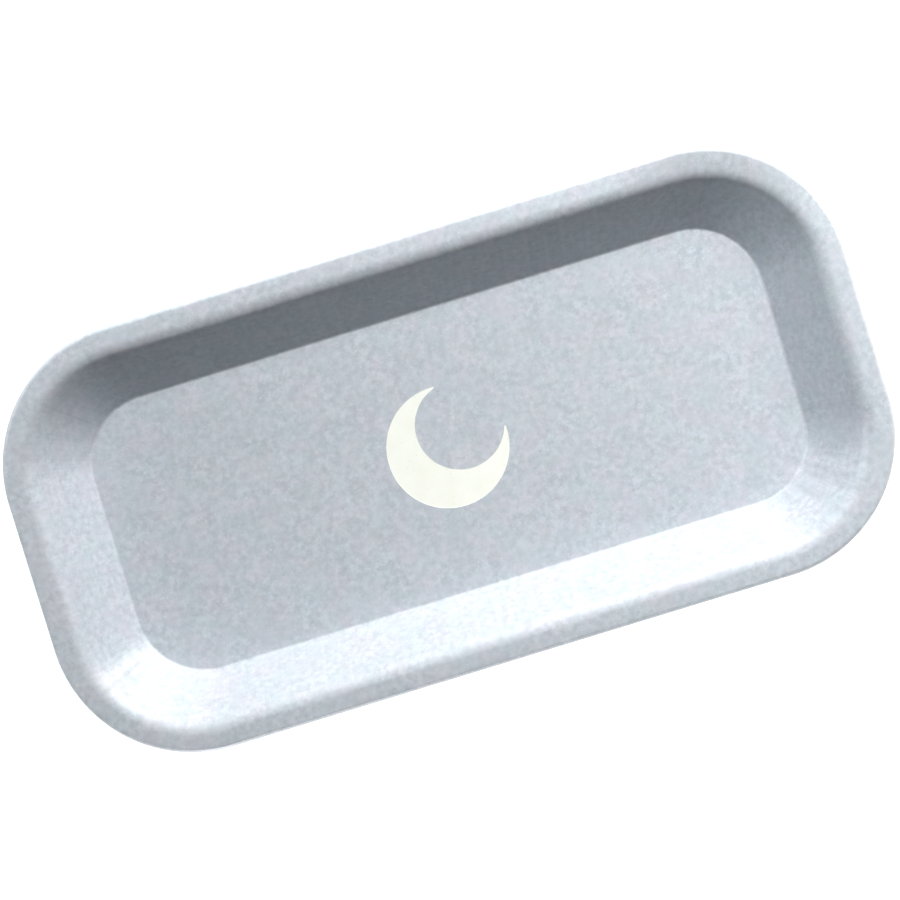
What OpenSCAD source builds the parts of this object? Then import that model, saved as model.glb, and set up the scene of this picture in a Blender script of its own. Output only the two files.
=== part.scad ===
// Pill counting tray: one shallow oblong tray pressed from sheet metal,
// with sloping walls, a flat flange, a rolled edge and a printed crescent.
// The table is at z = 0. X runs along the tray and +Z is up.

/* [Tray] */
// Length over the rolled edge
tray_length = 200; // [160:1:260]
// Width over the rolled edge
tray_width = 100.6; // [90:0.1:140]
// Height from the table to the top of the flange
tray_height = 18.5; // [15:0.5:25]
// Corner radius of the outline, at the rolled edge
corner_radius = 32.8; // [26:0.1:38]
// Thickness of the pressed sheet
sheet = 0.5; // [0.3:0.1:0.7]

/* [Wall and rim] */
// Plan distance from the rolled edge to the flat of the floor
wall_reach = 16.6; // [15:0.1:20]
// Radius of the crease between floor and wall, on the inside face
crease_radius = 1; // [0.6:0.1:2.5]
// Radius of the shoulder between wall and flange, on the upper face
shoulder_radius = 4.2; // [2.5:0.1:5]
// Plan width of the flange, from the rolled edge to the shoulder
flange_width = 3.9; // [3.2:0.1:6]
// Outer radius of the edge roll
roll_radius = 1.2; // [1:0.1:1.4]
// How far the edge is rolled round, in degrees
roll_turn = 240; // [180:10:260]

/* [Crescent] */
// Radius of the crescent's outer edge
crescent_radius = 14.8; // [13:0.1:15]
// Radius of the round bite that leaves the crescent
bite_radius = 10.8; // [10:0.1:12]
// Distance from the crescent's centre to the bite's centre
bite_offset = 6; // [5.6:0.1:7]
// Direction of the bite, in degrees from +X towards +Y
bite_direction = 45; // [0:5:90]
// How far the crescent's centre lies towards +Y from the tray's centre
crescent_shift = 0.8; // [-3:0.1:3]
// Thickness of the printed enamel
enamel = 0.2; // [0.1:0.05:0.4]

/* [Hidden] */
$fn = 96;

// Turn of each straight step in a bend of the section, in degrees
BEND_STEP = 10;

lacquered_tin = [0.74, 0.77, 0.82];
cream_enamel = [0.98, 0.98, 0.93];

// Centres of the four corners, and the floor's own corner radius
corner_x = tray_length / 2 - corner_radius;
corner_y = tray_width / 2 - corner_radius;
floor_corner = corner_radius - wall_reach;

// In the section, x runs outward from a corner's axis and y is the height.
crease_centre = [floor_corner, sheet + crease_radius];
shoulder_centre = [corner_radius - flange_width, tray_height - shoulder_radius];
roll_centre = [corner_radius - roll_radius, tray_height - roll_radius];

// The wall is the straight line that touches both bends from opposite sides.
bend_gap = shoulder_centre - crease_centre;
bend_sum = crease_radius + shoulder_radius;
wall_length = sqrt(bend_gap * bend_gap - bend_sum * bend_sum);
wall_angle = atan2(bend_gap.y, bend_gap.x) + atan2(bend_sum, wall_length);

// Points along an arc
function arc(centre, r, start, turn) =
  let (steps = ceil(abs(turn) / BEND_STEP))
  [for (i = [0:steps]) let (a = start + turn * i / steps) centre + r * [cos(a), sin(a)]];

// One face of the sheet in section, from a corner's axis to the end of the edge
// roll: the upper face at depth 0, and the underside at depth `sheet`
function sheet_face(depth) = concat(
  [[0, sheet - depth]],
  arc(crease_centre, crease_radius + depth, -90, wall_angle),
  arc(shoulder_centre, shoulder_radius - depth, 90 + wall_angle, -wall_angle),
  arc(roll_centre, roll_radius - depth, 90, -roll_turn));

function reversed(points) = [for (i = [len(points) - 1:-1:0]) points[i]];

// The whole sheet in section
module section() polygon(concat(sheet_face(0), reversed(sheet_face(sheet))));

// A straight side of the given length, its inner edge on the X axis
module straight_side(length)
  translate([-length / 2, 0, 0]) rotate([90, 0, 90])
    linear_extrude(length) section();

// The pressed pan: four sides, four turned corners and the middle of the floor
module tray_pan() color(lacquered_tin) {
  for (quarter = [0:3]) {
    along = quarter % 2 == 0 ? corner_x : corner_y;
    across = quarter % 2 == 0 ? corner_y : corner_x;
    rotate(90 * quarter) {
      translate([0, across, 0]) straight_side(2 * along);
      translate([along, across, 0]) rotate_extrude(angle = 90) section();
    }
  }
  translate([-corner_x, -corner_y, 0]) cube([2 * corner_x, 2 * corner_y, sheet]);
}

// The crescent: a disc of enamel on the floor with a round bite out of it
module crescent_print() color(cream_enamel)
  translate([0, crescent_shift, sheet]) difference() {
    cylinder(r = crescent_radius, h = enamel);
    rotate(bite_direction) translate([bite_offset, 0, -enamel])
      cylinder(r = bite_radius, h = 3 * enamel);
  }

tray_pan();
crescent_print();
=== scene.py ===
"""Pill counting tray: a pressed, lacquered metal tray with a printed crescent.

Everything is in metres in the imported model's own frame: the table is at z = 0,
X runs along the tray and +Z is up.
"""
import math

import bpy
from mathutils import Matrix, Vector, noise


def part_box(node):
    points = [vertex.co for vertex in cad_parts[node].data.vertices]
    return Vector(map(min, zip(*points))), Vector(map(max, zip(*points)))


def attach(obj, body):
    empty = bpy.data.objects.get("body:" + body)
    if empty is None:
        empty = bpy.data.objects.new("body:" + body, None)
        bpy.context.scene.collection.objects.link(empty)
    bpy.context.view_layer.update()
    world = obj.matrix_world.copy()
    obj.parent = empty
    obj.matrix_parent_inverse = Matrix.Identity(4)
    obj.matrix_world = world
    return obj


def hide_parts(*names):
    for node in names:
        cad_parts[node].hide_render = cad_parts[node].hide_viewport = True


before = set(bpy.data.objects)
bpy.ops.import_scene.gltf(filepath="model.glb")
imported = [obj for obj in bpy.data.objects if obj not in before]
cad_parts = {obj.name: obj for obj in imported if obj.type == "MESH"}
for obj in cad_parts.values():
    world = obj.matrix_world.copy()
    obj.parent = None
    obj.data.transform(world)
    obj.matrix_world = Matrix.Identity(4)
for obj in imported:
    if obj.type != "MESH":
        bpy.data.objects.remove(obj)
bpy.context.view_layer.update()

MM = 0.001

# Sizes of the pan: its outline from its packed box, and its section
PAN_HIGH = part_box("tray_pan")[1]
TOP = PAN_HIGH.z
SHEET = 0.5 * MM
CORNER_RADIUS = 32.8 * MM
WALL_REACH = 16.6 * MM
CREASE_RADIUS = 1.0 * MM
SHOULDER_RADIUS = 4.2 * MM
FLANGE_WIDTH = 3.9 * MM
ROLL_RADIUS = 1.2 * MM
ROLL_TURN = math.radians(240)

CORNER_X = PAN_HIGH.x - CORNER_RADIUS
CORNER_Y = PAN_HIGH.y - CORNER_RADIUS
FLOOR_CORNER = CORNER_RADIUS - WALL_REACH
FLANGE_START = CORNER_RADIUS - FLANGE_WIDTH

# How finely the pan is divided
ROLL_STEPS = 24
SHOULDER_STEPS = 10
WALL_STEPS = 12
CREASE_STEPS = 6
CORNER_STEPS = 40
SIDE_STEP = 3 * MM
FLOOR_RINGS = 14
TOUCHING = 0.001 * MM

# How far the press left the pan from true
FLOOR_RISE = 0.05 * MM
DRAW_DEPTH = 0.05 * MM

# Sizes of the crescent
PRINT_LOW, PRINT_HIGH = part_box("crescent_print")
CRESCENT_RADIUS = 14.8 * MM
BITE_RADIUS = 10.8 * MM
BITE_OFFSET = 6.0 * MM
BITE_DIRECTION = math.radians(45)
CRESCENT_SHIFT = 0.8 * MM
TIP_RADIUS = 0.16 * MM
ENAMEL_EDGE = 0.06 * MM
ENAMEL_RIM = 0.03 * MM

# Colours of the lacquer, and the middle of the painted shade on its flange
BLUE_TIN_DARK = (0.371, 0.396, 0.429, 1)
BLUE_TIN_LIGHT = (0.463, 0.489, 0.525, 1)
COOL_WASH = (0.965, 1.005, 1.0, 1)
VIOLET_WASH = (1.025, 0.995, 1.01, 1)
SPECK_LIGHT = (0.70, 0.73, 0.78, 1)
SPECK_DARK = (0.24, 0.25, 0.29, 1)
PRESS_LINE = (0.80, 0.83, 0.88, 1)
CRUSH_LINE = (0.22, 0.23, 0.25, 1)
PAINTED_SHADE_PLACE = (77 * MM, 46 * MM, 17 * MM)

# Colours of the enamel
CREAM_DARK = (0.715, 0.72, 0.65, 1)
CREAM_LIGHT = (0.75, 0.76, 0.70, 1)
CREAM_PINHOLE = (0.64, 0.65, 0.60, 1)

# Where the camera stands, what it looks at, and how far it is turned
EYE = Vector((2.4, 6.35, 348.2)) * MM
EYE_TARGET = Vector((0.34, 0.20, 17.3)) * MM
EYE_TURN = math.radians(17.05)


# ---------------------------------------------------------------- modelling

def start_point(name, place):
    """A new piece in edit mode, holding one selected vertex at that place."""
    bpy.ops.object.select_all(action="DESELECT")
    bpy.ops.mesh.primitive_plane_add(size=MM, location=(0, 0, 0))
    piece = bpy.context.object
    piece.name = piece.data.name = name
    bpy.ops.object.mode_set(mode="EDIT")
    bpy.ops.mesh.merge(type="CENTER")
    bpy.ops.transform.translate(value=place)
    return piece


def extrude(step):
    """Extrudes what is selected by a vector."""
    bpy.ops.mesh.extrude_region_move(TRANSFORM_OT_translate={"value": step})


def spin(centre, axis, angle, steps):
    """Spins what is selected about an axis through a point, by the right-hand rule."""
    bpy.ops.mesh.spin(steps=steps, angle=-angle, center=centre, axis=axis)


def merge_doubles():
    """Joins the points that lie on each other."""
    bpy.ops.mesh.select_all(action="SELECT")
    bpy.ops.mesh.remove_doubles(threshold=TOUCHING)


def select_edges(piece, wanted):
    """Selects just the edges whose two ends pass a test, in edit mode."""
    bpy.ops.mesh.select_all(action="DESELECT")
    bpy.ops.object.mode_set(mode="OBJECT")
    points = piece.data.vertices
    for edge in piece.data.edges:
        edge.select = all(wanted(points[index].co) for index in edge.vertices)
    bpy.ops.object.mode_set(mode="EDIT")


def finished(piece):
    """Leaves edit mode and puts the piece's place in its mesh."""
    bpy.ops.object.mode_set(mode="OBJECT")
    bpy.ops.object.transform_apply(location=True, rotation=True, scale=True)
    return piece


def add_modifier(piece, kind, **settings):
    """Adds a modifier to a piece and applies it."""
    modifier = piece.modifiers.new(kind.title(), kind)
    for setting, value in settings.items():
        setattr(modifier, setting, value)
    bpy.context.view_layer.objects.active = piece
    bpy.ops.object.modifier_apply(modifier=modifier.name)


def smooth(piece, angle):
    """Shades a piece smooth, apart from edges sharper than an angle in degrees."""
    bpy.ops.object.select_all(action="DESELECT")
    piece.select_set(True)
    bpy.context.view_layer.objects.active = piece
    bpy.ops.object.shade_smooth_by_angle(angle=math.radians(angle))


# ---------------------------------------------------------------- the pan

def pan_section():
    """Draws the sheet's upper face in section, from the end of the roll to the floor.

    The section stands across the +Y side, at that side's -X end.
    """
    x = -CORNER_X
    along = (1, 0, 0)
    outer = CORNER_Y + CORNER_RADIUS
    roll_centre = Vector((x, outer - ROLL_RADIUS, TOP - ROLL_RADIUS))
    shoulder_centre = Vector((x, outer - FLANGE_WIDTH, TOP - SHOULDER_RADIUS))
    crease_centre = Vector((x, outer - WALL_REACH, SHEET + CREASE_RADIUS))

    gap = shoulder_centre - crease_centre
    bends = SHOULDER_RADIUS + CREASE_RADIUS
    wall_length = math.sqrt(gap.length_squared - bends ** 2)
    wall_angle = math.atan2(gap.z, gap.y) + math.atan2(bends, wall_length)
    down_wall = Vector((0, -math.cos(wall_angle), -math.sin(wall_angle)))

    roll_end = math.radians(90) - ROLL_TURN
    start = roll_centre + ROLL_RADIUS * Vector((0, math.cos(roll_end), math.sin(roll_end)))
    pan = start_point("pan_sheet", start)
    spin(roll_centre, along, ROLL_TURN, ROLL_STEPS)
    flat = shoulder_centre.y - roll_centre.y
    for _ in range(2):
        extrude((0, flat / 2, 0))
    spin(shoulder_centre, along, wall_angle, SHOULDER_STEPS)
    for _ in range(WALL_STEPS):
        extrude(down_wall * wall_length / WALL_STEPS)
    spin(crease_centre, along, -wall_angle, CREASE_STEPS)
    bpy.ops.mesh.select_all(action="SELECT")
    return pan


def sweep_round():
    """Carries the section once round the outline: four sides and four corners."""
    up = Vector((0, 0, 1))
    for quarter in range(4):
        turn = Matrix.Rotation(-math.pi / 2 * quarter, 3, "Z")
        along, across = (CORNER_X, CORNER_Y) if quarter % 2 == 0 else (CORNER_Y, CORNER_X)
        steps = round(2 * along / SIDE_STEP)
        for _ in range(steps):
            extrude(turn @ Vector((2 * along / steps, 0, 0)))
        spin(turn @ Vector((along, across, 0)), up, -math.pi / 2, CORNER_STEPS)


def fill_floor(pan):
    """Fills the floor with rings that shrink towards its middle."""
    select_edges(pan, lambda point: point.z < SHEET + TOUCHING)
    for ring in range(FLOOR_RINGS, 1, -1):
        bpy.ops.mesh.extrude_region_move()
        size = (ring - 1) / ring
        bpy.ops.transform.resize(value=(size, size, 1), center_override=(0, 0, SHEET))
    bpy.ops.mesh.extrude_region_move()
    bpy.ops.mesh.merge(type="CENTER")


def floor_rise(place):
    """How far the floor stands above flat at a place: no pressed sheet is dead flat."""
    reach_x = max(abs(place.x) - CORNER_X, 0)
    reach_y = max(abs(place.y) - CORNER_Y, 0)
    inside = 1 - math.hypot(reach_x, reach_y) / FLOOR_CORNER
    fade = min(max(inside * 2, 0), 1)
    wave = noise.noise(Vector((place.x * 22, place.y * 30, 4.2)))
    return FLOOR_RISE * fade * (1 + wave)


def corner_draw(place):
    """Depth of the fine draw marks that a press leaves in a corner's wall."""
    reach_x = abs(place.x) - CORNER_X
    reach_y = abs(place.y) - CORNER_Y
    if reach_x <= 0 or reach_y <= 0:
        return 0
    angle = math.atan2(reach_y, reach_x)
    height = (place.z - SHEET) / (TOP - SHEET)
    fade = math.sin(2 * angle) * math.sin(math.pi * min(max(height, 0), 1))
    wave = noise.noise(Vector((angle * 10, place.x * 20, place.y * 20)))
    return DRAW_DEPTH * fade * wave


def press_marks(pan):
    """Moves the sheet's points by the floor's unevenness and the corners' draw marks."""
    pan.data.update()
    for point in pan.data.vertices:
        place = point.co.copy()
        if place.z < SHEET + 10 * TOUCHING:
            point.co.z += floor_rise(place)
        else:
            point.co += point.normal * corner_draw(place)


def pan_sheet():
    """The pan: one sheet, drawn down to a flat floor and rolled at the edge."""
    pan = pan_section()
    sweep_round()
    merge_doubles()
    fill_floor(pan)
    merge_doubles()
    bpy.ops.mesh.normals_make_consistent(inside=False)
    finished(pan)
    press_marks(pan)
    add_modifier(pan, "SOLIDIFY", thickness=SHEET, offset=-1, use_even_offset=True,
                 use_quality_normals=True)
    smooth(pan, 40)
    return pan


# ---------------------------------------------------------------- the crescent

def crescent_outline():
    """Draws the crescent's outline: two long arcs, joined round each tip."""
    across = math.cos(BITE_DIRECTION), math.sin(BITE_DIRECTION)
    middle = Vector((0, CRESCENT_SHIFT, PRINT_LOW.z))
    bite = middle + BITE_OFFSET * Vector((*across, 0))
    up = (0, 0, 1)

    # A tip's centre is where it touches both arcs from between them.
    long_side = CRESCENT_RADIUS - TIP_RADIUS
    short_side = BITE_RADIUS + TIP_RADIUS
    cosine = (long_side ** 2 + BITE_OFFSET ** 2 - short_side ** 2) / (2 * long_side * BITE_OFFSET)
    at_middle = math.acos(cosine)
    cosine = (short_side ** 2 + BITE_OFFSET ** 2 - long_side ** 2) / (2 * short_side * BITE_OFFSET)
    at_bite = math.pi - math.acos(cosine)
    tips = [middle + long_side * Vector((math.cos(BITE_DIRECTION + side * at_middle),
                                         math.sin(BITE_DIRECTION + side * at_middle), 0))
            for side in (1, -1)]

    start = middle + (tips[0] - middle).normalized() * CRESCENT_RADIUS
    crescent = start_point("crescent_enamel", start)
    spin(middle, up, 2 * math.pi - 2 * at_middle, 150)
    turn = math.pi + at_middle - at_bite
    spin(tips[1], up, turn, 10)
    spin(bite, up, -(2 * math.pi - 2 * at_bite), 110)
    spin(tips[0], up, turn, 10)
    merge_doubles()
    return crescent


def crescent_enamel():
    """The crescent: a thin, smooth-edged layer of enamel that lies on the floor."""
    crescent = crescent_outline()
    thickness = PRINT_HIGH.z - PRINT_LOW.z
    bpy.ops.mesh.edge_face_add()
    bpy.ops.mesh.normals_make_consistent(inside=False)
    extrude((0, 0, thickness - ENAMEL_EDGE))
    for step in range(3):
        turn, after = (math.radians(30 * (step + k)) for k in (0, 1))
        inward = ENAMEL_EDGE * (math.cos(turn) - math.cos(after))
        rise = ENAMEL_EDGE * (math.sin(after) - math.sin(turn))
        bpy.ops.mesh.inset(thickness=inward, depth=rise)
    bpy.ops.mesh.inset(thickness=ENAMEL_RIM, depth=0)
    bpy.ops.mesh.select_all(action="SELECT")
    bpy.ops.mesh.normals_make_consistent(inside=False)
    finished(crescent)
    smooth(crescent, 40)
    return crescent


# ---------------------------------------------------------------- finishes

class Finish:
    """A material being built: adds nodes to it and joins them."""

    def __init__(self, name):
        self.material = bpy.data.materials.new(name)
        self.material.use_nodes = True
        self.tree = self.material.node_tree
        self.shader = self.tree.nodes["Principled BSDF"]
        self.place = self.node("ShaderNodeTexCoord").outputs["Object"]

    def feed(self, socket, value):
        """Joins an output to a socket, or sets the socket to a plain value."""
        if isinstance(value, bpy.types.NodeSocket):
            self.tree.links.new(value, socket)
        else:
            socket.default_value = value

    def node(self, kind, inputs=None, **settings):
        """A node with its settings, and its inputs joined or set."""
        made = self.tree.nodes.new(kind)
        for setting, value in settings.items():
            setattr(made, setting, value)
        for key, value in (inputs or {}).items():
            self.feed(made.inputs[key], value)
        return made

    def reckon(self, operation, first, second=0.0):
        """The result of a Math node."""
        return self.node("ShaderNodeMath", {0: first, 1: second},
                         operation=operation).outputs[0]

    def vector(self, operation, first, second=(0, 0, 0)):
        """The vector result of a Vector Math node."""
        return self.node("ShaderNodeVectorMath", {0: first, 1: second},
                         operation=operation).outputs["Vector"]

    def spread(self, value, low, high, to_low=0.0, to_high=1.0):
        """A value mapped from one range to another, and held within it."""
        return self.node("ShaderNodeMapRange", {
            "Value": value, "From Min": low, "From Max": high,
            "To Min": to_low, "To Max": to_high}).outputs["Result"]

    def noise(self, scale, detail=2.0, place=None):
        """A noise node of that many waves a metre."""
        return self.node("ShaderNodeTexNoise", {
            "Vector": place or self.place, "Scale": scale, "Detail": detail})

    def grain(self, scale, detail=2.0, place=None):
        """The grey value of a noise."""
        return self.noise(scale, detail, place).outputs["Fac"]

    def shades(self, colour, noise, strength):
        """A colour whose red, green and blue wander apart by a noise."""
        offset = self.vector("SUBTRACT", noise.outputs["Color"], (0.5, 0.5, 0.5))
        scaled = self.vector("MULTIPLY", offset, (strength, strength, strength))
        return self.vector("MULTIPLY", colour, self.vector("ADD", scaled, (1, 1, 1)))

    def blend(self, factor, first, second):
        """Two colours mixed."""
        made = self.node("ShaderNodeMix", {0: factor, 6: first, 7: second}, data_type="RGBA")
        return made.outputs[2]

    def bump(self, height, distance, strength=1.0, after=None):
        """A surface normal bumped by a height."""
        inputs = {"Height": height, "Distance": distance, "Strength": strength}
        if after is not None:
            inputs["Normal"] = after
        return self.node("ShaderNodeBump", inputs).outputs["Normal"]

    def set(self, **values):
        """Sets or joins the shader's own sockets; a name's _ stands for a space."""
        for key, value in values.items():
            self.feed(self.shader.inputs[key.replace("_", " ")], value)


def wall_map(tin):
    """Where each point lies on the pan: its reach, its corner and its line up the wall.

    Reach is how far out it is. Corner is 1 in a corner and 0 on a straight side.
    A line stays the same all the way up the wall, the way that the sheet was drawn:
    straight across a side, and fanned out round a corner.
    """
    middle = (CORNER_X, CORNER_Y, 1)
    held = tin.vector("MINIMUM", tin.vector("MAXIMUM", tin.place, [-side for side in middle]),
                      middle)
    outward = tin.vector("SUBTRACT", tin.place, held)
    parts = tin.node("ShaderNodeSeparateXYZ", {0: outward}).outputs
    angle = tin.reckon("ARCTAN2", parts["Y"], parts["X"])
    turned = tin.reckon("MULTIPLY", angle, CORNER_RADIUS)
    held_parts = tin.node("ShaderNodeSeparateXYZ", {0: held}).outputs
    line = tin.node("ShaderNodeCombineXYZ", {
        "X": held_parts["X"], "Y": held_parts["Y"], "Z": turned}).outputs[0]
    reach = tin.node("ShaderNodeVectorMath", {0: outward}, operation="LENGTH").outputs["Value"]
    corner = tin.reckon("ABSOLUTE", tin.reckon("SINE", tin.reckon("MULTIPLY", angle, 2.0)))
    return reach, corner, line


def lacquered_tin():
    """Satin silver-blue lacquer full of fine metal flecks, on pressed tin."""
    tin = Finish("lacquered_tin")
    reach, corner, line = wall_map(tin)

    # Colour: fine flecks that come and go in patches, over a cool and a violet wash
    fleck = tin.spread(tin.grain(660, 3.0), 0.30, 0.70, -0.5, 0.5)
    patch = tin.spread(tin.grain(120, 2.0), 0.35, 0.65, 0.65, 1.3)
    fleck = tin.reckon("ADD", tin.reckon("MULTIPLY", fleck, patch), 0.5)
    colour = tin.blend(fleck, BLUE_TIN_DARK, BLUE_TIN_LIGHT)
    wash = tin.blend(tin.spread(tin.grain(150, 2.0), 0.36, 0.64), COOL_WASH, VIOLET_WASH)
    colour = tin.vector("MULTIPLY", colour, wash)
    colour = tin.shades(colour, tin.noise(520, 1.0), 0.05)

    # Painted light and shade on the flange: painted paler all round it, and painted darker round
    # one place on it
    flange_painted_light_and_shade = tin.spread(reach, FLANGE_START - 1.5 * MM, FLANGE_START)
    away = tin.node("ShaderNodeVectorMath", {0: tin.place, 1: PAINTED_SHADE_PLACE},
                    operation="DISTANCE").outputs["Value"]
    flange_painted_light_and_shade = tin.reckon("MULTIPLY", flange_painted_light_and_shade, tin.spread(away, 8 * MM, 26 * MM, -0.2, 0.07))
    colour = tin.vector("MULTIPLY", colour, tin.reckon("ADD", flange_painted_light_and_shade, 1.0))

    # A few specks of metal that catch the light, and a few that don't
    for scale, tone in ((1150.0, SPECK_LIGHT), (900.0, SPECK_DARK)):
        speck = tin.node("ShaderNodeTexVoronoi", {"Vector": tin.place, "Scale": scale}).outputs
        shown = tin.spread(speck["Distance"], 0.32, 0.10, 0.0, 0.3)
        shown = tin.reckon("MULTIPLY", tin.reckon("MULTIPLY", shown, patch), speck["Color"])
        colour = tin.blend(shown, colour, tone)

    # Lines that the press left on the walls, and deeper ones where it crushed the corners
    on_wall = tin.reckon("MULTIPLY",
                         tin.spread(reach, FLOOR_CORNER, FLOOR_CORNER + 1.5 * MM),
                         tin.spread(reach, FLANGE_START, FLANGE_START - 2.5 * MM))
    fine = tin.grain(1100, 3.0, line)
    pale = tin.reckon("MULTIPLY", on_wall, tin.spread(fine, 0.5, 0.8, 0.0, 0.08))
    colour = tin.blend(pale, colour, PRESS_LINE)
    crush = tin.spread(tin.grain(300, 1.0, line), 0.48, 0.34)
    broken = tin.spread(tin.grain(130, 1.0), 0.40, 0.60)
    crush = tin.reckon("MULTIPLY", tin.reckon("MULTIPLY", crush, broken),
                       tin.reckon("MULTIPLY", on_wall, corner))
    colour = tin.blend(tin.reckon("MULTIPLY", crush, 0.34), colour, CRUSH_LINE)

    # Roughness: hazier in clouds, and polished by handling along hair-fine marks
    haze = tin.grain(90, 3.0)
    hair = tin.grain(1.0, 2.0, tin.vector("MULTIPLY", tin.place, (60, 2600, 60)))
    hair = tin.spread(hair, 0.66, 0.74, 0.0, 0.06)
    rough = tin.reckon("SUBTRACT", tin.spread(haze, 0.3, 0.7, 0.48, 0.6), hair)

    # Surface: the lacquer's orange peel, then the press's lines
    peel = tin.bump(tin.grain(900, 2.0), 0.02 * MM, 0.6)
    ridges = tin.reckon("MULTIPLY", fine, on_wall)
    ridges = tin.reckon("ADD", ridges, tin.reckon("MULTIPLY", crush, -0.5))
    lined = tin.bump(ridges, 0.04 * MM, 0.6, after=peel)
    tin.set(Base_Color=colour, Roughness=rough, Metallic=0.1, Normal=lined)
    return tin.material


def cream_enamel():
    """Cream screen-print enamel: nearly flat, with soft clouds and a few pinholes."""
    enamel = Finish("cream_enamel")
    cloud = enamel.spread(enamel.grain(170, 3.0), 0.3, 0.7)
    colour = enamel.blend(cloud, CREAM_DARK, CREAM_LIGHT)
    pits = enamel.node("ShaderNodeTexVoronoi", {
        "Vector": enamel.place, "Scale": 620.0}).outputs["Distance"]
    pit = enamel.spread(pits, 0.05, 0.16, 0.0, 1.0)
    colour = enamel.blend(pit, CREAM_PINHOLE, colour)
    rough = enamel.spread(enamel.grain(400, 2.0), 0.3, 0.7, 0.32, 0.46)
    peel = enamel.bump(enamel.grain(700, 2.0), 0.015 * MM, 0.6)
    enamel.set(Base_Color=colour, Roughness=rough, Normal=peel)
    return enamel.material


# ---------------------------------------------------------------- the pieces

pan = pan_sheet()
pan.data.materials.append(lacquered_tin())
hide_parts("tray_pan")
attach(pan, "root")

crescent = crescent_enamel()
crescent.data.materials.append(cream_enamel())
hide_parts("crescent_print")
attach(crescent, "root")


# ---------------------------------------------------------------- the studio

def table():
    """A plain, pale table, bright enough to lose its shadows, just under the tray."""
    bpy.ops.object.select_all(action="DESELECT")
    bpy.ops.mesh.primitive_plane_add(size=6, location=(0, 0, -0.05 * MM))
    top = bpy.context.object
    top.name = "table"
    pale = Finish("pale_table")
    pale.set(Base_Color=(0.85, 0.85, 0.84, 1), Roughness=0.8,
             Emission_Color=(1, 1, 0.99, 1), Emission_Strength=0.3)
    top.data.materials.append(pale.material)


def lamp(name, kind, way, power, aim=(0, 0, 0), **settings):
    """A light at a place, or in a direction, that faces a point of the tray."""
    light = bpy.data.lights.new(name, kind)
    light.energy = power
    light.use_shadow = False
    for setting, value in settings.items():
        setattr(light, setting, value)
    made = bpy.data.objects.new(name, light)
    made.location = way
    made.visible_camera = False
    made.rotation_mode = "QUATERNION"
    made.rotation_quaternion = (Vector(aim) - Vector(way)).to_track_quat("-Z", "Y")
    bpy.context.scene.collection.objects.link(made)


def soft_sun(name, turn, rise, power, spread=40, **settings):
    """A broad, distant light: where it stands round the tray and how high, in degrees."""
    turn, rise = math.radians(turn), math.radians(rise)
    way = math.cos(turn) * math.cos(rise), math.sin(turn) * math.cos(rise), math.sin(rise)
    lamp(name, "SUN", way, power, angle=math.radians(spread), **settings)


def sky(strength, backdrop):
    """Even light from all round, and how pale it looks behind the table."""
    world = bpy.data.worlds.new("studio")
    world.use_nodes = True
    tree = world.node_tree
    shade = tree.nodes["Background"].inputs
    shade["Color"].default_value = (1, 1, 1, 1)
    seen = tree.nodes.new("ShaderNodeLightPath").outputs["Is Camera Ray"]
    level = tree.nodes.new("ShaderNodeMapRange")
    level.inputs["To Min"].default_value = strength
    level.inputs["To Max"].default_value = backdrop
    tree.links.new(seen, level.inputs["Value"])
    tree.links.new(level.outputs["Result"], shade["Strength"])
    bpy.context.scene.world = world


def camera():
    """Stands the camera almost straight above, turned so that the tray lies aslant."""
    back = (EYE - EYE_TARGET).normalized()
    up = back.cross(Vector((math.cos(EYE_TURN), -math.sin(EYE_TURN), 0))).normalized()
    right = up.cross(back)
    eye = bpy.data.objects.new("camera", bpy.data.cameras.new("camera"))
    eye.data.lens = 57.8
    eye.data.sensor_width = 36
    eye.data.clip_start = 0.01
    eye.location = EYE
    eye.rotation_mode = "QUATERNION"
    eye.rotation_quaternion = Matrix((right, up, back)).transposed().to_quaternion()
    bpy.context.scene.collection.objects.link(eye)
    bpy.context.scene.camera = eye


table()
camera()
sky(0.02, 0.8)
soft_sun("right_light", 30, 35, 1.84)
soft_sun("left_light", 150, 22, 1.86, color=(0.95, 1.0, 1.02))
soft_sun("back_light", 90, 20, 1.06)
soft_sun("edge_light", 250, 0.3, 3.1, spread=1, use_shadow=True)
lamp("back_lamp", "AREA", (0.2, 0.3, 0.2), 2.1, size=0.25)
lamp("top_lamp", "AREA", (0.15, -0.05, 0.2), 0.1, size=0.25)
lamp("corner_lamp", "SPOT", (0.869, 0.269, 0.026), 19.0, aim=(-0.051, -0.122, 0.009),
     color=(1.0, 0.90, 0.78), spot_size=math.radians(12), spot_blend=0.02, shadow_soft_size=0.002)
bpy.context.scene.view_settings.view_transform = "Standard"
